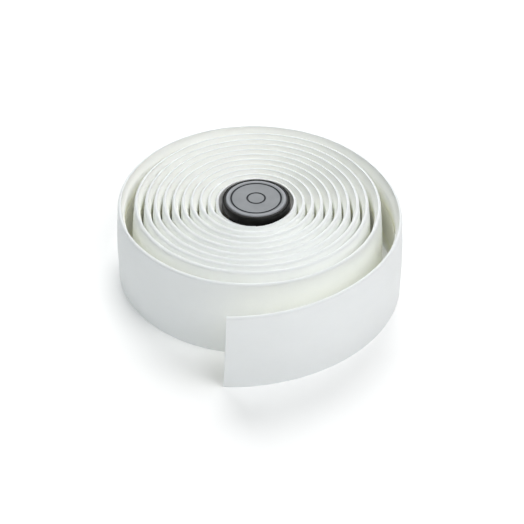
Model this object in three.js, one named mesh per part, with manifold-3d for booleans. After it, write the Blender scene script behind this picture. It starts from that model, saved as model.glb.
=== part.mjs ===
// A roll of cushioned handlebar tape standing on its edge, with a push-in bar-end plug in its core.
// Millimetres, +Z up. The origin is at the centre of the outline, on the surface the roll stands on.
//
// The tape is a laminate of four layers: a thin cover, a foam base with bevelled edges, a narrow
// adhesive strip and the paper that protects it. It is wound as a spiral. The outermost part is loose,
// and is made as three links that hinge about upright axes, because the real tape uncoils there.

import * as THREE from 'three';
import Module from 'manifold-3d';
import { mergeVertices } from 'three/addons/utils/BufferGeometryUtils.js';

// Layers of the tape, as depths below its outer face
const TAPE_WIDTH = 30;
const COVER_DEPTH = 0.5;
const FOAM_DEPTH = 2.4;
const ADHESIVE_DEPTH = 2.6;
const LINER_DEPTH = 2.7;
const EDGE_DEPTH = 1.0;        // what is left of the tape's thickness at its bevelled edges
const BEVEL_HEIGHT = 3.5;      // how far the bevel reaches in from each edge
const ADHESIVE_WIDTH = 10;
const LINER_WIDTH = 12;

// Path of the tape, counted in turns inward from its free end
const FREE_END_ANGLE = -97.8;  // degrees, seen from above
const INNER_END = 10.85;       // turns
const TIGHT_FROM = 2;          // the winding is a plain spiral from here inward
const SPIRAL_START = 46.97;    // radius that the plain spiral would have at the free end
const PITCH = 3.184;
const INNER_EASE = 0.7;        // the innermost wraps relax outward by up to this much
const EASE_TURNS = 2;
const LOOSE_WRAP = [           // turns and outer radius of the loose outer wraps
  [0, 64.1], [0.1, 58.8], [0.2, 54.1], [0.3, 49.8], [0.4, 47.8], [0.6, 48.3], [0.8, 48.4],
  [0.9, 47.7], [1, 46.9], [1.15, 45.3], [1.3, 43.9], [1.6, 42.5], [1.8, 41.7],
];

// Links of the loose end
const HINGE_TURNS = [5 / 36, 10 / 36, 15 / 36];
const LINK_GAP = 0.3;
const LINK_STEPS = 72;         // steps per turn
const COIL_STEPS = [[1.45, 60], [6, 30], [INNER_END, 24]];  // up to each turn, its steps per turn

// Centre of the winding, measured from the origin
const AXIS_X = -1.44;
const AXIS_Y = 7.79;

// Bar-end plug, in its own frame: heights above the surface the roll stands on
const PLUG_X = 0.65;           // from the centre of the winding
const PLUG_Y = -1.4;
const CAP_TOP = 32;
const CAP_BOTTOM = 28.4;
const CAP_RADIUS = 11.9;
const CAP_BEVEL = 0.9;
const SKIRT_RADIUS = 10.6;
const SKIRT_HEIGHT = 1.2;
const RECESS_RADIUS = 10.8;
const RECESS_DEPTH = 0.8;
const BADGE_RADIUS = 10.6;
const BADGE_BOTTOM = 31.3;
const BADGE_TOP = 32.1;
const BADGE_BEVEL = 0.35;
const GROOVE_RADIUS = 8.7;
const HUB_RADIUS = 3.1;
const GROOVE_WIDTH = 0.5;
const GROOVE_DEPTH = 0.25;
const STEM_BOTTOM = 11;
const RIB_LENGTH = 16.4;
const RIB_THICKNESS = 2.2;
const RIB_CHAMFER = 2;
const FIN_RADIUS = 9.9;
const FIN_ROOT_RADIUS = 5;
const FIN_HEIGHTS = [14.2, 17.7, 21.2, 24.7];
const FIN_TIP = 0.7;
const FIN_ROOT = 1.6;
const ROUND_STEPS = 40;

const LAYERS = {
  cover: { outline: rectangle(0, COVER_DEPTH, TAPE_WIDTH), color: 0xe9ebea, roughness: 0.62 },
  foam: { outline: bevelled(), color: 0xdcdccf, roughness: 0.9 },
  adhesive: { outline: rectangle(FOAM_DEPTH, ADHESIVE_DEPTH, ADHESIVE_WIDTH), color: 0xd8d6c8, roughness: 0.35 },
  liner: { outline: rectangle(ADHESIVE_DEPTH, LINER_DEPTH, LINER_WIDTH), color: 0xf1f0ea, roughness: 0.5 },
};

/** Section of a flat layer: depth and height pairs, centred on the tape's width. */
function rectangle(outer, inner, width) {
  const low = (TAPE_WIDTH - width) / 2;
  const high = (TAPE_WIDTH + width) / 2;
  return [[outer, low], [inner, low], [inner, high], [outer, high]];
}

/** Section of the foam base: full thickness in the middle, thin at both edges. */
function bevelled() {
  return [
    [COVER_DEPTH, 0],
    [EDGE_DEPTH, 0],
    [FOAM_DEPTH, BEVEL_HEIGHT],
    [FOAM_DEPTH, TAPE_WIDTH - BEVEL_HEIGHT],
    [EDGE_DEPTH, TAPE_WIDTH],
    [COVER_DEPTH, TAPE_WIDTH],
  ];
}

/** Radius of the plain spiral, with the innermost wraps eased outward. */
function tightRadius(turn) {
  return SPIRAL_START - PITCH * turn + INNER_EASE * Math.exp((turn - INNER_END) / EASE_TURNS);
}

const PATH_KNOTS = [...LOOSE_WRAP, [TIGHT_FROM, tightRadius(TIGHT_FROM)], [TIGHT_FROM + 1, tightRadius(TIGHT_FROM + 1)]];

/** Slope of the loose wraps at a knot, from its two neighbours. */
function knotSlope(index) {
  const before = PATH_KNOTS[Math.max(index - 1, 0)];
  const after = PATH_KNOTS[index + 1];
  return (after[1] - before[1]) / (after[0] - before[0]);
}

/** Radius of the tape's outer face. */
function outerRadius(turn) {
  if (turn >= TIGHT_FROM) return tightRadius(turn);
  const next = Math.max(PATH_KNOTS.findIndex(([knot]) => knot > turn), 1);
  const [start, from] = PATH_KNOTS[next - 1];
  const [end, to] = PATH_KNOTS[next];
  const span = end - start;
  const t = (turn - start) / span;
  const leave = knotSlope(next - 1) * span;
  const arrive = knotSlope(next) * span;
  return from * (2 * t ** 3 - 3 * t ** 2 + 1) + leave * (t ** 3 - 2 * t ** 2 + t)
    + to * (3 * t ** 2 - 2 * t ** 3) + arrive * (t ** 3 - t ** 2);
}

/** A point of the tape at a turn, a depth below its outer face and a height. */
function tapePoint(turn, depth, height) {
  const angle = THREE.MathUtils.degToRad(FREE_END_ANGLE + 360 * turn);
  const radius = outerRadius(turn) - depth;
  return [radius * Math.cos(angle), radius * Math.sin(angle), height];
}

/** Turns that a distance along the outer face takes up. */
function turnsOf(distance, turn) {
  return distance / (2 * Math.PI * outerRadius(turn));
}

/** Stations from one turn to another: its two ends and the whole steps between them, zone by zone. */
function stations(from, to, zones) {
  const list = [from];
  for (const [zoneEnd, stepsPerTurn] of zones) {
    const firstStep = Math.ceil(list.at(-1) * stepsPerTurn + 0.2);
    const lastStep = Math.min(zoneEnd, to) * stepsPerTurn - 0.2;
    for (let step = firstStep; step < lastStep; step += 1) list.push(step / stepsPerTurn);
  }
  list.push(to);
  return list;
}

/** Closed solid of one layer along a stretch of the tape. */
function layerGeometry(outline, turns) {
  const positions = [];
  const triangles = [];
  const count = outline.length;
  turns.forEach((turn) => {
    outline.forEach(([depth, height]) => positions.push(...tapePoint(turn, depth, height)));
  });
  for (let station = 0; station < turns.length - 1; station += 1) {
    for (let side = 0; side < count; side += 1) {
      const a = station * count + side;
      const b = station * count + (side + 1) % count;
      triangles.push(a, b, b + count, a, b + count, a + count);
    }
  }
  const last = (turns.length - 1) * count;
  for (let side = 1; side < count - 1; side += 1) {
    triangles.push(0, side + 1, side, last, last + side, last + side + 1);
  }
  const geometry = new THREE.BufferGeometry();
  geometry.setAttribute('position', new THREE.Float32BufferAttribute(positions, 3));
  geometry.setIndex(triangles);
  geometry.computeVertexNormals();
  return geometry;
}

/** The four layers of one stretch of the tape. */
function tapeStretch(name, turns) {
  const stretch = new THREE.Group();
  for (const [layer, { outline, color, roughness }] of Object.entries(LAYERS)) {
    const material = new THREE.MeshStandardMaterial({ color, roughness, metalness: 0, flatShading: true });
    const mesh = new THREE.Mesh(layerGeometry(outline, turns), material);
    mesh.name = `${name}_${layer}`;
    stretch.add(mesh);
  }
  return stretch;
}

/** The coil and the three links of the loose end, link 1 next to the coil and link 3 at the free end. */
function tape() {
  const roll = new THREE.Group();
  const cuts = [0, ...HINGE_TURNS];
  for (let cut = 0; cut < HINGE_TURNS.length; cut += 1) {
    const from = cut === 0 ? 0 : cuts[cut] + turnsOf(LINK_GAP / 2, cuts[cut]);
    const to = cuts[cut + 1] - turnsOf(LINK_GAP / 2, cuts[cut + 1]);
    roll.add(tapeStretch(`tail_${HINGE_TURNS.length - cut}`, stations(from, to, [[to, LINK_STEPS]])));
  }
  const coilStart = cuts.at(-1);
  roll.add(tapeStretch('coil', stations(coilStart + turnsOf(LINK_GAP / 2, coilStart), INNER_END, COIL_STEPS)));
  return roll;
}

/** Solid of revolution about the upright axis, from radius and height pairs. */
function turned(profile) {
  const points = profile.map(([radius, height]) => new THREE.Vector2(radius, height));
  const geometry = new THREE.LatheGeometry(points, ROUND_STEPS);
  geometry.rotateX(Math.PI / 2);
  return geometry;
}

/** Profile of the cap: bevelled rim, recess for the badge, and a skirt that narrows below. */
function capProfile() {
  return [
    [0, CAP_BOTTOM],
    [SKIRT_RADIUS, CAP_BOTTOM],
    [CAP_RADIUS, CAP_BOTTOM + SKIRT_HEIGHT],
    [CAP_RADIUS, CAP_TOP - CAP_BEVEL],
    [CAP_RADIUS - CAP_BEVEL, CAP_TOP],
    [RECESS_RADIUS, CAP_TOP],
    [RECESS_RADIUS, CAP_TOP - RECESS_DEPTH],
    [0, CAP_TOP - RECESS_DEPTH],
  ];
}

/** Profile of one flexible fin, thicker at its root. */
function finProfile(height) {
  return [
    [0, height - FIN_ROOT / 2],
    [FIN_ROOT_RADIUS, height - FIN_ROOT / 2],
    [FIN_RADIUS, height - FIN_TIP / 2],
    [FIN_RADIUS, height + FIN_TIP / 2],
    [FIN_ROOT_RADIUS, height + FIN_ROOT / 2],
    [0, height + FIN_ROOT / 2],
  ];
}

/** One blade of the stem's cross, chamfered at its lower end. */
function ribGeometry(angle) {
  const half = RIB_LENGTH / 2;
  const shape = new THREE.Shape([
    new THREE.Vector2(-half, CAP_BOTTOM + SKIRT_HEIGHT),
    new THREE.Vector2(-half, STEM_BOTTOM + RIB_CHAMFER),
    new THREE.Vector2(-half + RIB_CHAMFER, STEM_BOTTOM),
    new THREE.Vector2(half - RIB_CHAMFER, STEM_BOTTOM),
    new THREE.Vector2(half, STEM_BOTTOM + RIB_CHAMFER),
    new THREE.Vector2(half, CAP_BOTTOM + SKIRT_HEIGHT),
  ]);
  const geometry = new THREE.ExtrudeGeometry(shape, { depth: RIB_THICKNESS, bevelEnabled: false });
  geometry.translate(0, 0, -RIB_THICKNESS / 2);
  geometry.rotateX(Math.PI / 2);
  geometry.rotateZ(angle);
  return geometry;
}

/** Profile of the badge: a bevelled disc with two round grooves. */
function badgeProfile() {
  const floor = BADGE_TOP - GROOVE_DEPTH;
  const groove = (radius) => [
    [radius + GROOVE_WIDTH / 2, BADGE_TOP],
    [radius + GROOVE_WIDTH / 4, floor],
    [radius - GROOVE_WIDTH / 4, floor],
    [radius - GROOVE_WIDTH / 2, BADGE_TOP],
  ];
  return [
    [0, BADGE_BOTTOM],
    [BADGE_RADIUS, BADGE_BOTTOM],
    [BADGE_RADIUS, BADGE_TOP - BADGE_BEVEL],
    [BADGE_RADIUS - BADGE_BEVEL, BADGE_TOP],
    ...groove(GROOVE_RADIUS),
    ...groove(HUB_RADIUS),
    [0, BADGE_TOP],
  ];
}

const wasm = await Module();
wasm.setup();

/** A manifold solid from a closed geometry. */
function solid(geometry) {
  const bare = geometry.clone();
  bare.deleteAttribute('normal');
  bare.deleteAttribute('uv');
  const merged = mergeVertices(bare, 1e-3);
  return new wasm.Manifold(new wasm.Mesh({
    numProp: 3,
    vertProperties: new Float32Array(merged.attributes.position.array),
    triVerts: new Uint32Array(merged.index.array),
  }));
}

/** Geometry of a manifold solid. */
function geometryOf(manifold) {
  const { vertProperties, triVerts } = manifold.getMesh();
  const geometry = new THREE.BufferGeometry();
  geometry.setAttribute('position', new THREE.BufferAttribute(new Float32Array(vertProperties), 3));
  geometry.setIndex(new THREE.BufferAttribute(new Uint32Array(triVerts), 1));
  geometry.computeVertexNormals();
  return geometry;
}

/** The plug's moulding: cap, crossed blades and flexible fins in one piece. */
function plugBody() {
  let body = solid(turned(capProfile()));
  for (const angle of [Math.PI / 4, -Math.PI / 4]) body = body.add(solid(ribGeometry(angle)));
  for (const height of FIN_HEIGHTS) body = body.add(solid(turned(finProfile(height))));
  const material = new THREE.MeshStandardMaterial({ color: 0x26231f, roughness: 0.4, metalness: 0, flatShading: true });
  const mesh = new THREE.Mesh(geometryOf(body), material);
  mesh.name = 'plug_body';
  return mesh;
}

/** The grey disc in the cap's recess. */
function plugBadge() {
  const material = new THREE.MeshStandardMaterial({ color: 0x9ea1a4, roughness: 0.38, metalness: 0.6, flatShading: true });
  const mesh = new THREE.Mesh(turned(badgeProfile()), material);
  mesh.name = 'plug_badge';
  return mesh;
}

/** The plug, standing in the core a little off the centre of the winding. */
function plug() {
  const assembly = new THREE.Group();
  assembly.position.set(PLUG_X, PLUG_Y, 0);
  assembly.add(plugBody(), plugBadge());
  return assembly;
}

const group = new THREE.Group();
group.position.set(AXIS_X, AXIS_Y, 0);
group.add(tape(), plug());

export default group;
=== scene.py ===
"""Looks of a roll of handlebar tape: its four layers, the plug in its core, materials, and the studio."""

import math

import bmesh
import bpy
import numpy as np
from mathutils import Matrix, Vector


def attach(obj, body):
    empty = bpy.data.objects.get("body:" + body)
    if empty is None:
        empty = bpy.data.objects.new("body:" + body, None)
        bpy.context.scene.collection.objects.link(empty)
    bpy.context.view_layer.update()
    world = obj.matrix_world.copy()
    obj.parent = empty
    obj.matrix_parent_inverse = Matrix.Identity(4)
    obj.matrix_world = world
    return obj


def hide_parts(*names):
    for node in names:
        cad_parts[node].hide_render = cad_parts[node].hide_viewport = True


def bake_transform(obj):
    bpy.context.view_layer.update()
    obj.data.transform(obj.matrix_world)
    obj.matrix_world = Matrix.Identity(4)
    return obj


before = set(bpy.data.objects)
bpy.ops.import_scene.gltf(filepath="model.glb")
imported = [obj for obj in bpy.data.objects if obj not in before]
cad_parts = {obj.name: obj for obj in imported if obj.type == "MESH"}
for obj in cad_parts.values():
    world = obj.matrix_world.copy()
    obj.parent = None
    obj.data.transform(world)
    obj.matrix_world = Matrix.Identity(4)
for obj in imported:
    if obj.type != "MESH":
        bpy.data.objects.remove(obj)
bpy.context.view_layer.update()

MM = 0.001

# Texture scale at which one unit is a millimetre
IN_MM = 1000.0

# Section of the tape: depths below its outer face, heights and widths, as in the CAD model
TAPE_WIDTH = 30.0 * MM
COVER_DEPTH = 0.5 * MM
FOAM_DEPTH = 2.4 * MM
ADHESIVE_DEPTH = 2.6 * MM
LINER_DEPTH = 2.7 * MM
EDGE_DEPTH = 1.0 * MM
BEVEL_HEIGHT = 3.5 * MM
ADHESIVE_WIDTH = 10.0 * MM
LINER_WIDTH = 12.0 * MM

# Finer than the CAD section: the cover's rounded corner, its hem over the foam, and the bevel's hollow
COVER_ROUNDING = 0.85 * MM
HEM_DEPTH = 1.05 * MM
HEM_THICKNESS = 0.22 * MM
INNER_ROUNDING = 0.2 * MM
HEM_OVERLAP = 0.05 * MM
BEVEL_HOLLOW = 0.08 * MM
BEVEL_STEPS = 8
CORNER_STEPS = 6
INNER_CORNER_STEPS = 3

# Shares of the width at which the faces have points, above the middle
COVER_FACE = [0.56, 0.62, 0.68, 0.74, 0.80, 0.86, 0.92]
FOAM_FACE = [0.55, 0.8]
FOAM_BACK = [0.72, 0.6]

# Path of the tape's outer face, in turns inward from its free end
FREE_END_ANGLE = math.radians(-97.8)
INNER_END = 10.85
SQUEEZED_END = 11.03
TIGHT_FROM = 2.0
SPIRAL_START = 46.97 * MM
PITCH = 3.184 * MM
INNER_EASE = 0.7 * MM
EASE_TURNS = 2.0

# The loose wrap: turns and radius in mm
LOOSE_WRAP = [
    (0.0, 64.1), (0.1, 58.8), (0.2, 54.1), (0.3, 49.8), (0.4, 47.8), (0.6, 48.3), (0.8, 48.4),
    (0.9, 47.7), (1.0, 46.9), (1.15, 45.3), (1.3, 43.9), (1.6, 42.5), (1.8, 41.7),
]

# Where the loose end hinges, and how far each bend spreads to either side of its hinge
HINGE_TURNS = {"tail_3": 5 / 36, "tail_2": 10 / 36, "tail_1": 15 / 36}
BLEND_REACH = 9.0 * MM

# Where the loose end's root piece meets the wound one
COIL_FROM = 0.47
STEPS_PER_TURN = 220

# How far the upper edge stands outward of the path: turns and mm
UPPER_EDGE = [
    (0.0, -0.05), (0.1, -0.4), (0.25, -0.2), (0.45, -0.1), (0.65, -0.4), (0.78, -0.9), (0.88, -0.5),
    (1.0, 0.0), (1.3, 0.0), (1.6, 0.0),
]

# How far the lower half stands outward of the path: turns and mm
LOWER_HALF = [
    (0.0, 0.05), (0.1, 0.4), (0.25, 0.55), (0.45, 0.45), (0.65, 0.3), (0.78, 0.1), (0.92, 0.0), (1.1, 0.7),
    (1.4, 1.4), (2.0, 1.5), (4.0, 1.2), (6.0, 0.7), (8.0, 0.3), (10.0, 0.15), (11.1, 0.0),
]

# The curl between them starts at this share of the tape's width
CURL_FROM = 0.42
CURL_POWER = 1.35

# The free end is cut at a slant, lowest corner furthest out
END_SLANT = 1.4 * MM
SLANT_REACH = 12.0 * MM
SLANT_POWER = 1.6

# Slow unevenness of the winding
WANDER = 0.10 * MM
WANDER_FROM = 1.3
WANDER_OVER = 0.8
WIDTH_WANDER = 0.12 * MM
EDGE_WAVE = 0.035 * MM
CUPPING = 0.12 * MM
RIPPLE = 0.06 * MM

# The inner wraps bulge in front of the plug
FRONT_BULGE = 0.45 * MM
BULGE_FROM = 7.0
BULGE_FULL = 10.0
BULGE_POWER = 6

# The innermost end is squeezed thinner and pressed down under the plug's cap
SQUEEZE_FROM = 10.74
SQUEEZE_OVER = 0.13
SQUEEZED_DEPTH = 0.5
PRESSED_DOWN = 1.7 * MM

# Centre of the winding and of the plug, from the origin
AXIS = Vector((-1.44 * MM, 7.79 * MM, 0.0))
PLUG_AXIS = AXIS + Vector((0.65 * MM, -1.4 * MM, 0.0))

# Plug
CAP_TOP = 32.0 * MM
CAP_BOTTOM = 28.4 * MM
CAP_RADIUS = 11.75 * MM
CAP_FLARE = 11.95 * MM
CAP_ROUNDING = 0.22 * MM
RING_SLOPE = 0.3 * MM
SKIRT_RADIUS = 10.6 * MM
SKIRT_HEIGHT = 0.6 * MM
RECESS_RADIUS = 10.7 * MM
RECESS_DEPTH = 0.8 * MM
BADGE_RADIUS = 10.6 * MM
BADGE_BOTTOM = 31.3 * MM
BADGE_TOP = 32.1 * MM
BADGE_CHAMFER = 0.35 * MM
BADGE_RIM = 0.7 * MM
BADGE_SINK = 0.08 * MM
BADGE_ROUNDING = 0.12 * MM
GROOVE_RADIUS = 8.7 * MM
HUB_RADIUS = 3.1 * MM
GROOVE_WIDTH = 0.55 * MM
GROOVE_DEPTH = 0.22 * MM
GROOVE_FLOOR = 0.4
STEM_BOTTOM = 11.0 * MM
RIB_LENGTH = 16.4 * MM
RIB_THICKNESS = 2.2 * MM
RIB_CHAMFER = 2.0 * MM
RIB_ROUNDING = 0.2 * MM
FIN_RADIUS = 9.7 * MM
FIN_ROOT_RADIUS = 5.0 * MM
FIN_HEIGHTS = [14.2 * MM, 17.7 * MM, 21.2 * MM, 24.7 * MM]
FIN_TIP = 0.7 * MM
FIN_ROOT = 1.6 * MM
FIN_ROUNDING = 0.25 * MM
CAP_STEPS = 128
FIN_STEPS = 96
BADGE_STEPS = 160

# Edges sharper than this many degrees stay sharp
TAPE_SHARP = 50
MOULDING_SHARP = 32
BADGE_SHARP = 40

# Camera: where it stands, how far it looks down, and its sensor and lens in millimetres
CAMERA_PLACE = Vector((1.25 * MM, -418.3 * MM, 340.5 * MM))
CAMERA_DOWN = math.radians(38.42)
SENSOR = 36.0
LENS = 103.66

# Light between the white wraps is reflected many times before it fades
LIGHT_BOUNCES = 14

# The floor glows faintly near the roll, to soften the shadow, and more far off, to keep low views pale
FLOOR_HALF = 12.0
FLOOR_NEAR = 0.5
FLOOR_FAR = 2.0
FLOOR_GLOW = 0.14
FLOOR_FAR_GLOW = 0.8

# Studio lights, all round and facing the roll: name, place in metres, power in watts and colour
LIGHT_SIZE = 0.7
LIGHT_TARGET = Vector((0, 0, 0.01))
LIGHTS = [
    ("overhead", (0.0, 0.60, 0.70), 6.6, (1.0, 1.0, 1.0)),
    ("key", (0.45, -0.40, 0.75), 4.85, (1.0, 1.0, 1.0)),
    ("front", (0.0, -0.70, 0.50), 0.95, (0.95, 1.0, 1.0)),
    ("fill", (-0.55, -0.50, 0.40), 0.3, (0.93, 1.0, 1.0)),
    ("left", (-0.75, 0.0, 0.50), 1.2, (0.93, 1.0, 1.0)),
]
WORLD_COLOUR = (0.95, 0.98, 1.0, 1)
WORLD_STRENGTH = 0.01


# ---------------------------------------------------------------- path of the tape

def tight_radius(turn):
    """Radius of the plain spiral, with the innermost wraps eased outward."""
    return SPIRAL_START - PITCH * turn + INNER_EASE * math.exp((turn - INNER_END) / EASE_TURNS)


PATH_KNOTS = [(turn, radius * MM) for turn, radius in LOOSE_WRAP]
PATH_KNOTS += [(turn, tight_radius(turn)) for turn in (TIGHT_FROM, TIGHT_FROM + 1)]
UPPER_KNOTS = [(turn, shift * MM) for turn, shift in UPPER_EDGE]
LOWER_KNOTS = [(turn, shift * MM) for turn, shift in LOWER_HALF]


def through(knots, x):
    """Smooth curve through knots, with each knot's slope taken from its neighbours."""

    def slope(index):
        before = knots[max(index - 1, 0)]
        after = knots[min(index + 1, len(knots) - 1)]
        return (after[1] - before[1]) / (after[0] - before[0])

    after = next((i for i, knot in enumerate(knots) if knot[0] > x), len(knots) - 1)
    after = max(after, 1)
    (start, low), (end, high) = knots[after - 1], knots[after]
    span = end - start
    t = min((x - start) / span, 1.0)
    leave = slope(after - 1) * span
    arrive = slope(after) * span
    return (
        low * (2 * t**3 - 3 * t**2 + 1)
        + leave * (t**3 - 2 * t**2 + t)
        + high * (3 * t**2 - 2 * t**3)
        + arrive * (t**3 - t**2)
    )


def outer_radius(turn):
    """Radius of the tape's outer face."""
    return tight_radius(turn) if turn >= TIGHT_FROM else through(PATH_KNOTS, turn)


def angle_at(turn):
    """Angle of a place on the path about the winding's centre, counted from +X."""
    return FREE_END_ANGLE + 2 * math.pi * turn


def waves(x, *terms):
    """Sum of sines, each term an amplitude, a frequency and a phase."""
    return sum(size * math.sin(2 * math.pi * (rate * x + phase)) for size, rate, phase in terms)


def eased(t):
    """Smooth step from 0 to 1."""
    t = min(max(t, 0.0), 1.0)
    return t * t * (3 - 2 * t)


def wander(turn):
    """Slow change of radius from wrap to wrap, none where the tape is loose, and a bulge before the plug."""
    fade = min(max((turn - WANDER_FROM) / WANDER_OVER, 0.0), 1.0)
    slow = fade * WANDER * waves(turn, (0.6, 0.83, 0.2), (0.4, 1.61, 0.7))
    front = max(math.cos(angle_at(turn) + math.pi / 2), 0.0) ** BULGE_POWER
    return slow + FRONT_BULGE * front * eased((turn - BULGE_FROM) / (BULGE_FULL - BULGE_FROM))


def curl(turn, share):
    """How far the tape stands outward of its path: its upper half curls inward towards the edge."""
    upper = through(UPPER_KNOTS, turn)
    lower = through(LOWER_KNOTS, turn)
    rise = max(share - CURL_FROM, 0.0) / (1 - CURL_FROM)
    return lower + (upper - lower) * rise**CURL_POWER


def tape_point(turn, depth, height):
    """A point of the soft tape, with its curl, its cupped face and its slightly uneven edges."""
    share = height / TAPE_WIDTH
    end_lap = 2 * math.pi * outer_radius(0)
    if turn * end_lap < SLANT_REACH:
        reach = 1 - turn * end_lap / SLANT_REACH
        turn -= END_SLANT * (1 - share) ** SLANT_POWER * reach / end_lap
    angle = angle_at(turn)
    path = max(turn, 0.0)
    bulge = CUPPING * (1 - (2 * share - 1) ** 2)
    ripple = RIPPLE * waves(path, (0.5, 5.3, 0.1), (0.5, 8.9, 0.4 + 0.3 * share)) * share
    squeeze = eased((path - SQUEEZE_FROM) / SQUEEZE_OVER)
    depth *= 1 - SQUEEZED_DEPTH * squeeze
    radius = outer_radius(path) + wander(path) - depth + bulge + ripple + curl(path, share)
    raised = WIDTH_WANDER * waves(path, (0.6, 0.37, 0.15), (0.4, 1.9, 0.6))
    raised += EDGE_WAVE * waves(path, (0.5, 31.0, 0.0), (0.5, 47.0, 0.3))
    raised -= PRESSED_DOWN * squeeze
    place = Vector((radius * math.cos(angle), radius * math.sin(angle), height + raised * share))
    return place + AXIS


# ---------------------------------------------------------------- sections of the layers

def arc(centre, radius, start, end, steps):
    """Points of an arc in the section plane, angles in degrees."""
    points = []
    for step in range(steps + 1):
        angle = math.radians(start + (end - start) * step / steps)
        points.append((centre[0] + radius * math.cos(angle), centre[1] + radius * math.sin(angle)))
    return points


def mirrored(half):
    """A closed section from its upper half, mirrored about the middle of the tape."""
    return half + [(depth, TAPE_WIDTH - height) for depth, height in reversed(half)]


def cover_section():
    """Thin skin that turns over both edges of the foam, with rounded corners."""
    face = [(0.0, TAPE_WIDTH * share) for share in COVER_FACE]
    corner = arc((COVER_ROUNDING, TAPE_WIDTH - COVER_ROUNDING), COVER_ROUNDING, 180, 90, CORNER_STEPS)
    lip_radius = HEM_THICKNESS / 2
    lip = arc((HEM_DEPTH - lip_radius, TAPE_WIDTH - lip_radius), lip_radius, 90, -90, CORNER_STEPS)
    inside_centre = (COVER_DEPTH + INNER_ROUNDING, TAPE_WIDTH - HEM_THICKNESS - INNER_ROUNDING)
    inside = arc(inside_centre, INNER_ROUNDING, 90, 180, INNER_CORNER_STEPS)
    return mirrored(face + corner + lip + inside)


def foam_section():
    """Base layer: a narrow edge under the cover's hem, a hollow bevel, and full thickness in the middle."""
    top = TAPE_WIDTH - HEM_THICKNESS
    corner_centre = (COVER_DEPTH + INNER_ROUNDING, top - INNER_ROUNDING)
    rim = arc(corner_centre, INNER_ROUNDING, 180, 90, INNER_CORNER_STEPS)
    rim += [(EDGE_DEPTH - HEM_OVERLAP, top)]
    bevel = []
    for step in range(BEVEL_STEPS):
        share = step / BEVEL_STEPS
        hollow = BEVEL_HOLLOW * math.sin(math.pi * share)
        depth = EDGE_DEPTH + (FOAM_DEPTH - EDGE_DEPTH) * share - hollow
        bevel.append((depth, top - (BEVEL_HEIGHT - HEM_THICKNESS) * share))
    back = [(FOAM_DEPTH, TAPE_WIDTH - BEVEL_HEIGHT)]
    back += [(FOAM_DEPTH, TAPE_WIDTH * share) for share in FOAM_BACK]
    front = [(COVER_DEPTH, TAPE_WIDTH * share) for share in FOAM_FACE]
    return mirrored(front + rim + bevel + back)


def flat_section(outer, inner, width):
    """Section of a thin strip along the middle of the tape's back."""
    low = (TAPE_WIDTH - width) / 2
    high = (TAPE_WIDTH + width) / 2
    middle = TAPE_WIDTH / 2
    return [(outer, low), (inner, low), (inner, middle), (inner, high), (outer, high), (outer, middle)]


LAYERS = {
    "cover": (cover_section(), TAPE_WIDTH),
    "foam": (foam_section(), TAPE_WIDTH),
    "adhesive": (flat_section(FOAM_DEPTH, ADHESIVE_DEPTH, ADHESIVE_WIDTH), ADHESIVE_WIDTH),
    "liner": (flat_section(ADHESIVE_DEPTH, LINER_DEPTH, LINER_WIDTH), LINER_WIDTH),
}


# ---------------------------------------------------------------- meshes

def new_object(name, data):
    """A new object in the scene, from its mesh, light or camera."""
    obj = bpy.data.objects.new(name, data)
    bpy.context.scene.collection.objects.link(obj)
    return obj


def smooth(mesh, sharp_degrees):
    """Shades a mesh smooth, apart from edges sharper than an angle."""
    mesh.polygons.foreach_set("use_smooth", [True] * len(mesh.polygons))
    mesh.set_sharp_from_angle(angle=math.radians(sharp_degrees))


def path_place(turn):
    """Place on the tape's outer face, seen from above, from the winding's centre."""
    return (outer_radius(turn) * math.cos(angle_at(turn)), outer_radius(turn) * math.sin(angle_at(turn)))


def run_length(turns):
    """Distance along the tape's outer face from the first station to each one."""
    lengths = [0.0]
    for before, after in zip(turns, turns[1:]):
        lengths.append(lengths[-1] + math.dist(path_place(before), path_place(after)))
    return lengths


def strip(name, section, start, end):
    """One layer between two turns, closed, with UVs in metres along and across it; and its length."""
    steps = max(4, round((end - start) * STEPS_PER_TURN))
    turns = [start + (end - start) * step / steps for step in range(steps + 1)]
    lengths = run_length(turns)
    offset = start * 2 * math.pi * SPIRAL_START
    count = len(section)
    vertices = [tape_point(turn, depth, height) for turn in turns for depth, height in section]
    faces = []
    coordinates = []
    across = [0.0]
    for point, following in zip(section, section[1:] + section[:1]):
        across.append(across[-1] + math.dist(point, following))
    for step in range(steps):
        for side in range(count):
            near = step * count + side
            far = step * count + (side + 1) % count
            faces.append((near, far, far + count, near + count))
            along_start, along_end = offset + lengths[step], offset + lengths[step + 1]
            side_start, side_end = across[side], across[side + 1]
            coordinates += [(along_start, side_start), (along_start, side_end)]
            coordinates += [(along_end, side_end), (along_end, side_start)]
    last = steps * count
    faces.append(tuple(reversed(range(count))))
    faces.append(tuple(range(last, last + count)))
    coordinates += [(depth, height) for depth, height in reversed(section)]
    coordinates += [(depth, height) for depth, height in section]
    mesh = bpy.data.meshes.new(name)
    mesh.from_pydata(vertices, [], faces)
    layer = mesh.uv_layers.new(name="tape")
    layer.data.foreach_set("uv", np.array(coordinates, np.float32).ravel())
    fix_facing(mesh)
    smooth(mesh, TAPE_SHARP)
    return new_object(name, mesh), lengths[-1]


def fix_facing(mesh):
    """Turns every face of a closed mesh outward."""
    work = bmesh.new()
    work.from_mesh(mesh)
    bmesh.ops.recalc_face_normals(work, faces=work.faces)
    work.to_mesh(mesh)
    work.free()


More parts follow.
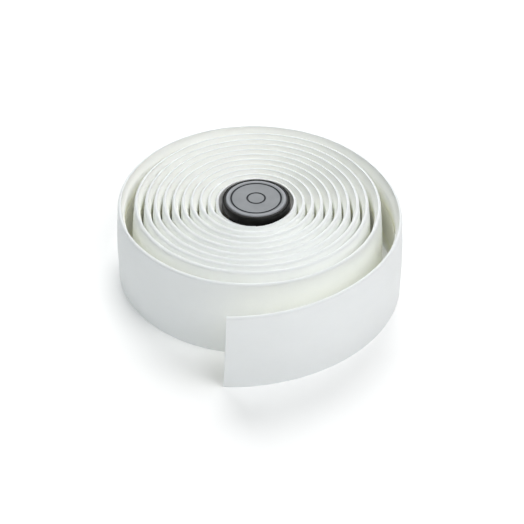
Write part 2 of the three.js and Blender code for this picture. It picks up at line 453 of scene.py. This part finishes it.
def turned(work, profile, steps):
    """Adds a solid of revolution about the plug's axis to a bmesh, from radius and height pairs."""
    rings = []
    for radius, height in profile:
        if radius == 0:
            rings.append([work.verts.new(PLUG_AXIS + Vector((0, 0, height)))])
            continue
        ring = []
        for step in range(steps):
            angle = 2 * math.pi * step / steps
            place = Vector((radius * math.cos(angle), radius * math.sin(angle), height))
            ring.append(work.verts.new(PLUG_AXIS + place))
        rings.append(ring)
    for lower, upper in zip(rings, rings[1:]):
        for step in range(steps):
            following = (step + 1) % steps
            if len(lower) == 1:
                work.faces.new((lower[0], upper[following], upper[step]))
            elif len(upper) == 1:
                work.faces.new((lower[step], lower[following], upper[0]))
            else:
                work.faces.new((lower[step], lower[following], upper[following], upper[step]))


def rounded(profile, radius, steps=4):
    """Rounds the inner corners of an open profile by quarter-curves of about that size."""
    points = [profile[0]]
    for before, corner, after in zip(profile, profile[1:], profile[2:]):
        arms = []
        for other in (before, after):
            reach = math.dist(corner, other)
            share = min(radius, reach * 0.45) / reach
            arms.append([c + (o - c) * share for c, o in zip(corner, other)])
        for step in range(steps + 1):
            t = step / steps
            points.append(tuple(
                (1 - t) ** 2 * a + 2 * t * (1 - t) * c + t**2 * b for a, c, b in zip(arms[0], corner, arms[1])
            ))
    return points + [profile[-1]]


def cap_profile():
    """Cap with a flared skirt, a sloping rim, and a recess for the badge."""
    profile = [
        (0, CAP_BOTTOM), (SKIRT_RADIUS, CAP_BOTTOM), (CAP_FLARE, CAP_BOTTOM + SKIRT_HEIGHT),
        (CAP_RADIUS, CAP_TOP - RING_SLOPE), (RECESS_RADIUS, CAP_TOP), (RECESS_RADIUS, CAP_TOP - RECESS_DEPTH),
        (0, CAP_TOP - RECESS_DEPTH),
    ]
    return rounded(profile, CAP_ROUNDING)


def fin_profile(height):
    """Round fin of the stem, thinner towards its tip."""
    root = FIN_ROOT / 2
    tip = FIN_TIP / 2
    below = [(0, height - root), (FIN_ROOT_RADIUS, height - root), (FIN_RADIUS, height - tip)]
    above = [(FIN_RADIUS, height + tip), (FIN_ROOT_RADIUS, height + root), (0, height + root)]
    return rounded(below + above, FIN_ROUNDING)


def add_rib(work, angle):
    """Adds one blade of the stem's cross, with chamfered lower corners and softened edges."""
    half = RIB_LENGTH / 2
    top = CAP_BOTTOM + SKIRT_HEIGHT
    outline = [
        (-half, top), (-half, STEM_BOTTOM + RIB_CHAMFER), (-half + RIB_CHAMFER, STEM_BOTTOM),
        (half - RIB_CHAMFER, STEM_BOTTOM), (half, STEM_BOTTOM + RIB_CHAMFER), (half, top),
    ]
    along = Vector((math.cos(angle), math.sin(angle), 0))
    across = Vector((-math.sin(angle), math.cos(angle), 0)) * (RIB_THICKNESS / 2)
    sides = []
    for shift in (-across, across):
        sides.append([work.verts.new(PLUG_AXIS + along * x + shift + Vector((0, 0, z))) for x, z in outline])
    made = [work.faces.new(sides[0]), work.faces.new(list(reversed(sides[1])))]
    left, right = sides
    for index in range(len(outline)):
        following = (index + 1) % len(outline)
        made.append(work.faces.new((left[index], right[index], right[following], left[following])))
    edges = list({edge for face in made for edge in face.edges})
    bmesh.ops.bevel(work, geom=edges, offset=RIB_ROUNDING, segments=2, affect="EDGES")


def finished(work, name, sharp_degrees):
    """Turns a bmesh into an object with its faces outward, smooth but for its sharp edges."""
    bmesh.ops.recalc_face_normals(work, faces=work.faces)
    mesh = bpy.data.meshes.new(name)
    work.to_mesh(mesh)
    work.free()
    smooth(mesh, sharp_degrees)
    return new_object(name, mesh)


def plug_moulding():
    """Cap, and a stem of two crossed blades with round fins."""
    work = bmesh.new()
    turned(work, cap_profile(), CAP_STEPS)
    for height in FIN_HEIGHTS:
        turned(work, fin_profile(height), FIN_STEPS)
    for angle in (math.pi / 4, -math.pi / 4):
        add_rib(work, angle)
    return finished(work, "plug_moulding", MOULDING_SHARP)


def badge_profile():
    """Disc with a raised rim round a flat middle, and two round grooves."""

    def groove(radius, level):
        half = GROOVE_WIDTH / 2
        return [
            (radius + half, level), (radius + half * GROOVE_FLOOR, level - GROOVE_DEPTH),
            (radius - half * GROOVE_FLOOR, level - GROOVE_DEPTH), (radius - half, level),
        ]

    rim = [
        (0, BADGE_BOTTOM), (BADGE_RADIUS, BADGE_BOTTOM), (BADGE_RADIUS, BADGE_TOP - BADGE_CHAMFER),
        (BADGE_RADIUS - BADGE_CHAMFER, BADGE_TOP), (GROOVE_RADIUS + BADGE_RIM, BADGE_TOP),
    ]
    level = BADGE_TOP - BADGE_SINK
    profile = rim + groove(GROOVE_RADIUS, level) + groove(HUB_RADIUS, level) + [(0, level)]
    return rounded(profile, BADGE_ROUNDING, 3)


def plug_badge():
    """Disc that sits in the cap's recess."""
    work = bmesh.new()
    turned(work, badge_profile(), BADGE_STEPS)
    return finished(work, "plug_disc", BADGE_SHARP)


# ---------------------------------------------------------------- materials

class Nodes:
    """Short way to add and wire shader nodes."""

    def __init__(self, name):
        self.material = bpy.data.materials.new(name)
        self.material.use_nodes = True
        self.tree = self.material.node_tree
        self.shader = self.tree.nodes["Principled BSDF"]

    def add(self, kind, settings=None, **inputs):
        node = self.tree.nodes.new(kind)
        for key, value in (settings or {}).items():
            setattr(node, key, value)
        for key, value in inputs.items():
            self.put(node.inputs[key.replace("_", " ")], value)
        return node

    def put(self, socket, value):
        if isinstance(value, bpy.types.NodeSocket):
            self.tree.links.new(value, socket)
        else:
            socket.default_value = value

    def place(self, source, scale):
        """Texture coordinates: 'UV' in metres on the tape, or 'Object' in metres, times scale per metre."""
        coordinates = self.add("ShaderNodeTexCoord")
        mapping = self.add("ShaderNodeMapping", Vector=coordinates.outputs[source])
        mapping.inputs["Scale"].default_value = scale if isinstance(scale, tuple) else (scale,) * 3
        return mapping.outputs["Vector"]

    def noise(self, vector, scale=1.0, detail=3.0, roughness=0.55):
        node = self.add("ShaderNodeTexNoise", Vector=vector, Scale=scale, Detail=detail, Roughness=roughness)
        return node.outputs["Fac"]

    def ramp(self, value, *stops):
        """Colour ramp from position and grey or colour pairs."""
        node = self.add("ShaderNodeValToRGB", Fac=value)
        elements = node.color_ramp.elements
        while len(elements) < len(stops):
            elements.new(0.5)
        for element, (position, colour) in zip(elements, stops):
            element.position = position
            element.color = (colour,) * 3 + (1,) if isinstance(colour, float) else tuple(colour) + (1,)
        return node.outputs["Color"]

    def mix(self, factor, a, b, blend="MIX"):
        node = self.add("ShaderNodeMix", {"data_type": "RGBA", "blend_type": blend})
        self.put(node.inputs[0], factor)
        for socket, value in ((node.inputs[6], a), (node.inputs[7], b)):
            self.put(socket, value if isinstance(value, bpy.types.NodeSocket) else tuple(value) + (1,))
        return node.outputs[2]

    def math(self, operation, a, b=0.0):
        node = self.add("ShaderNodeMath", {"operation": operation})
        self.put(node.inputs[0], a)
        self.put(node.inputs[1], b)
        return node.outputs[0]

    def bump(self, height, strength, distance, normal=None):
        node = self.add("ShaderNodeBump", Height=height, Strength=strength, Distance=distance)
        if normal is not None:
            self.put(node.inputs["Normal"], normal)
        return node.outputs["Normal"]

    def finish(self, **inputs):
        for key, value in inputs.items():
            self.put(self.shader.inputs[key.replace("_", " ")], value)
        return self.material


def cover_material():
    """Soft white polyurethane: fine leather grain, faint clouding, satin."""
    n = Nodes("tape_cover")
    fine = n.place("UV", IN_MM)
    cells = n.add("ShaderNodeTexVoronoi", {"feature": "SMOOTH_F1"}, Vector=fine, Scale=1.5, Smoothness=0.7)
    grain = n.noise(fine, 2.6, 4.0)
    pebble = n.math("ADD", n.math("MULTIPLY", cells.outputs["Distance"], 0.7), n.math("MULTIPLY", grain, 0.5))
    cloud = n.noise(n.place("UV", (45.0, 70.0, 1.0)), 1.0, 4.0, 0.6)
    colour = n.ramp(cloud, (0.30, (0.868, 0.888, 0.892)), (0.70, (0.893, 0.913, 0.916)))
    colour = n.mix(n.math("MULTIPLY", cells.outputs["Distance"], 0.10), colour, (0.79, 0.80, 0.80))
    gloss = n.ramp(n.noise(fine, 0.35, 3.0), (0.3, 0.47), (0.7, 0.60))
    normal = n.bump(cloud, 0.10, 0.4 * MM)
    normal = n.bump(pebble, 0.16, 0.06 * MM, normal)
    return n.finish(
        Base_Color=colour, Roughness=gloss, Normal=normal, Sheen_Weight=0.08, Sheen_Roughness=0.5,
        Specular_IOR_Level=0.25, Subsurface_Weight=0.12, Subsurface_Radius=(1.0, 0.95, 0.85),
        Subsurface_Scale=1.2 * MM,
    )


def foam_material():
    """Off-white closed-cell foam: fine pores, matt, and a painted shade at mid height, where the wraps hide
    it: warmer and less blue, for light bounced between them.
    """
    n = Nodes("tape_foam")
    fine = n.place("UV", IN_MM)
    pores = n.add("ShaderNodeTexVoronoi", Vector=fine, Scale=3.4)
    mottled = n.noise(n.place("UV", (120.0, 220.0, 1.0)), 1.0, 4.0, 0.6)
    colour = n.ramp(mottled, (0.3, (0.958, 0.957, 0.912)), (0.7, (0.973, 0.972, 0.937)))
    height = n.add("ShaderNodeSeparateXYZ", Vector=n.place("Object", 1 / TAPE_WIDTH)).outputs["Z"]
    # Painted shade: at mid height the foam is painted warmer and less blue, for light bounced many times in
    # the gaps between the wraps.
    inner = n.ramp(height, (0.10, 0.0), (0.30, 1.0), (0.62, 1.0), (0.86, 0.0))
    colour = n.mix(n.math("MULTIPLY", inner, 0.8), colour, (0.955, 0.945, 0.75))
    dark_pores = n.ramp(pores.outputs["Distance"], (0.0, 0.30), (0.35, 0.0))
    colour = n.mix(n.math("MULTIPLY", dark_pores, 0.35), colour, (0.88, 0.88, 0.79))
    normal = n.bump(pores.outputs["Distance"], 0.22, 0.05 * MM)
    normal = n.bump(n.noise(fine, 1.1, 3.0), 0.15, 0.08 * MM, normal)
    roughness = n.ramp(mottled, (0.3, 0.80), (0.7, 0.92))
    return n.finish(
        Base_Color=colour, Roughness=roughness, Normal=normal, Specular_IOR_Level=0.25,
        Subsurface_Weight=0.15, Subsurface_Radius=(1.0, 0.95, 0.75), Subsurface_Scale=2.5 * MM,
    )


def adhesive_material():
    """Tacky film: warm, glossy, with trapped streaks."""
    n = Nodes("tape_adhesive")
    streaks = n.noise(n.place("UV", (60.0, 900.0, 1.0)), 1.0, 4.0)
    colour = n.ramp(streaks, (0.35, (0.74, 0.72, 0.62)), (0.65, (0.82, 0.80, 0.71)))
    roughness = n.ramp(streaks, (0.3, 0.18), (0.7, 0.34))
    return n.finish(
        Base_Color=colour, Roughness=roughness, Normal=n.bump(streaks, 0.2, 0.05 * MM), Coat_Weight=0.3,
        Coat_Roughness=0.15,
    )


def liner_material():
    """Siliconised paper: faint fibres, smooth sheen."""
    n = Nodes("tape_liner")
    fibres = n.noise(n.place("UV", (900.0, 2600.0, 1.0)), 1.0, 5.0, 0.65)
    colour = n.ramp(fibres, (0.3, (0.90, 0.89, 0.80)), (0.7, (0.94, 0.93, 0.85)))
    roughness = n.ramp(fibres, (0.3, 0.38), (0.7, 0.5))
    return n.finish(Base_Color=colour, Roughness=roughness, Normal=n.bump(fibres, 0.15, 0.02 * MM))


def moulding_material():
    """Black moulded plastic: fine spark-eroded texture, warm black, edges a little lighter, partly rubbed
    wear and partly a painted highlight.
    """
    n = Nodes("plug_black")
    fine = n.place("Object", IN_MM)
    texture = n.noise(fine, 5.0, 4.0, 0.6)
    smudge = n.noise(fine, 0.35, 3.0)
    colour = n.ramp(smudge, (0.3, (0.005, 0.0048, 0.0045)), (0.7, (0.009, 0.0086, 0.008)))
    # Sharp edges are painted lighter: partly rubbed wear, partly a painted highlight along the edges.
    edges = n.add("ShaderNodeNewGeometry").outputs["Pointiness"]
    edge_wear_and_highlight = n.ramp(edges, (0.52, 0.0), (0.62, 0.30))
    colour = n.mix(edge_wear_and_highlight, colour, (0.06, 0.059, 0.057))
    roughness = n.ramp(smudge, (0.25, 0.26), (0.75, 0.38))
    return n.finish(
        Base_Color=colour, Roughness=roughness, Normal=n.bump(texture, 0.14, 0.03 * MM),
        Specular_IOR_Level=0.16,
    )


def badge_material():
    """Satin grey disc with dark paint in its two grooves, and a smoother rim painted lighter, a painted
    highlight.
    """
    n = Nodes("plug_disc")
    place = n.add("ShaderNodeTexCoord").outputs["Object"]
    centred = n.add("ShaderNodeVectorMath", {"operation": "SUBTRACT"})
    n.put(centred.inputs[0], place)
    n.put(centred.inputs[1], tuple(PLUG_AXIS))
    flat = n.add("ShaderNodeVectorMath", {"operation": "MULTIPLY"})
    n.put(flat.inputs[0], centred.outputs[0])
    n.put(flat.inputs[1], (1, 1, 0))
    length = n.add("ShaderNodeVectorMath", {"operation": "LENGTH"})
    n.put(length.inputs[0], flat.outputs[0])
    radius = n.math("DIVIDE", length.outputs["Value"], BADGE_RADIUS)
    brushed = n.noise(n.place("Object", (400.0, 5200.0, 400.0)), 1.0, 3.0)
    cloud = n.noise(n.place("Object", 160.0), 1.0, 3.0)
    colour = n.ramp(cloud, (0.3, (0.225, 0.237, 0.250)), (0.7, (0.26, 0.272, 0.286)))
    # Painted highlight: the raised rim and its chamfer are painted lighter all round, for light caught on the
    # rim.
    rim = n.ramp(radius, (0.885, 0.0), (0.925, 1.0))
    colour = n.mix(n.math("MULTIPLY", rim, 0.55), colour, (0.40, 0.41, 0.44))
    for groove in (GROOVE_RADIUS, HUB_RADIUS):
        away = n.math("ABSOLUTE", n.math("SUBTRACT", radius, groove / BADGE_RADIUS))
        paint = n.ramp(away, (0.026, 1.0), (0.035, 0.0))
        colour = n.mix(paint, colour, (0.018, 0.021, 0.026))
    roughness = n.ramp(brushed, (0.3, 0.48), (0.7, 0.60))
    return n.finish(
        Base_Color=colour, Roughness=roughness, Normal=n.bump(brushed, 0.05, 0.02 * MM),
        Specular_IOR_Level=0.3,
    )


def floor_material():
    """Matt white floor whose glow rises with the distance from the roll."""
    n = Nodes("floor")
    tone = n.noise(n.place("Object", 3.0), 1.0, 2.0)
    distance = n.add("ShaderNodeVectorMath", {"operation": "LENGTH"})
    n.put(distance.inputs[0], n.place("Object", 1.0))
    glow = n.add("ShaderNodeMapRange", Value=distance.outputs["Value"])
    for socket, value in zip(glow.inputs[1:5], (FLOOR_NEAR, FLOOR_FAR, FLOOR_GLOW, FLOOR_FAR_GLOW)):
        socket.default_value = value
    return n.finish(
        Base_Color=n.ramp(tone, (0.3, (0.93, 0.93, 0.93)), (0.7, (0.94, 0.94, 0.94))), Roughness=0.7,
        Emission_Color=(1, 1, 1, 1), Emission_Strength=glow.outputs["Result"],
    )


# ---------------------------------------------------------------- the object

def build_tape():
    """Every layer in four pieces: the wound coil, and three along the loose end, cut between its hinges."""
    end_cut = (HINGE_TURNS["tail_3"] + HINGE_TURNS["tail_2"]) / 2
    middle_cut = (HINGE_TURNS["tail_2"] + HINGE_TURNS["tail_1"]) / 2
    stretches = [
        ("end", 0.0, end_cut, "tail_3", "tail_2"),
        ("middle", end_cut, middle_cut, "tail_2", "tail_1"),
        ("root", middle_cut, COIL_FROM, "tail_1", "coil"),
        ("wound", COIL_FROM, SQUEEZED_END, "coil", None),
    ]
    materials = {
        "cover": cover_material(),
        "foam": foam_material(),
        "adhesive": adhesive_material(),
        "liner": liner_material(),
    }
    for layer, (section, width) in LAYERS.items():
        for stretch, start, end, body, towards in stretches:
            piece, length = strip(f"tape_{layer}_{stretch}", section, start, end)
            piece.data.materials.append(materials[layer])
            if towards is None:
                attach(piece, body)
            else:
                bend(piece, body)
            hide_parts(f"{body}_{layer}")


def bend(piece, child):
    """Bakes a piece's placement into its mesh; the points either side of the hinge along the tape are worked
    out but not used.
    """
    turn = HINGE_TURNS[child]
    step = BLEND_REACH / (2 * math.pi * outer_radius(turn))
    start = tape_point(turn + step, 0.0, TAPE_WIDTH / 2)
    end = tape_point(turn - step, 0.0, TAPE_WIDTH / 2)
    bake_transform(piece)


def build_plug():
    body = plug_moulding()
    body.data.materials.append(moulding_material())
    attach(body, "plug")
    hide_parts("plug_body")
    disc = plug_badge()
    disc.data.materials.append(badge_material())
    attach(disc, "plug")
    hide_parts("plug_badge")


def area_light(name, place, power, colour):
    """A round soft light that faces the roll."""
    data = bpy.data.lights.new(name, "AREA")
    data.shape = "DISK"
    data.size = LIGHT_SIZE
    data.energy = power
    data.color = colour
    light = new_object(name, data)
    light.location = place
    light.rotation_euler = (LIGHT_TARGET - Vector(place)).to_track_quat("-Z", "Y").to_euler()


def build_stage():
    mesh = bpy.data.meshes.new("floor")
    corners = [(x * FLOOR_HALF, y * FLOOR_HALF, 0) for x, y in ((-1, -1), (1, -1), (1, 1), (-1, 1))]
    mesh.from_pydata(corners, [], [(0, 1, 2, 3)])
    floor = new_object("floor", mesh)
    mesh.materials.append(floor_material())

    world = bpy.data.worlds.new("studio")
    world.use_nodes = True
    background = world.node_tree.nodes["Background"]
    background.inputs["Color"].default_value = WORLD_COLOUR
    background.inputs["Strength"].default_value = WORLD_STRENGTH
    bpy.context.scene.world = world
    for name, place, power, colour in LIGHTS:
        area_light(name, place, power, colour)


def build_camera():
    data = bpy.data.cameras.new("camera")
    data.sensor_width = SENSOR
    data.lens = LENS
    camera = new_object("camera", data)
    camera.location = CAMERA_PLACE
    camera.rotation_euler = (math.pi / 2 - CAMERA_DOWN, 0, 0)
    bpy.context.scene.camera = camera


build_tape()
build_plug()
build_stage()
build_camera()
bpy.context.scene.view_settings.view_transform = "Standard"
bpy.context.scene.cycles.max_bounces = LIGHT_BOUNCES
bpy.context.scene.cycles.diffuse_bounces = LIGHT_BOUNCES
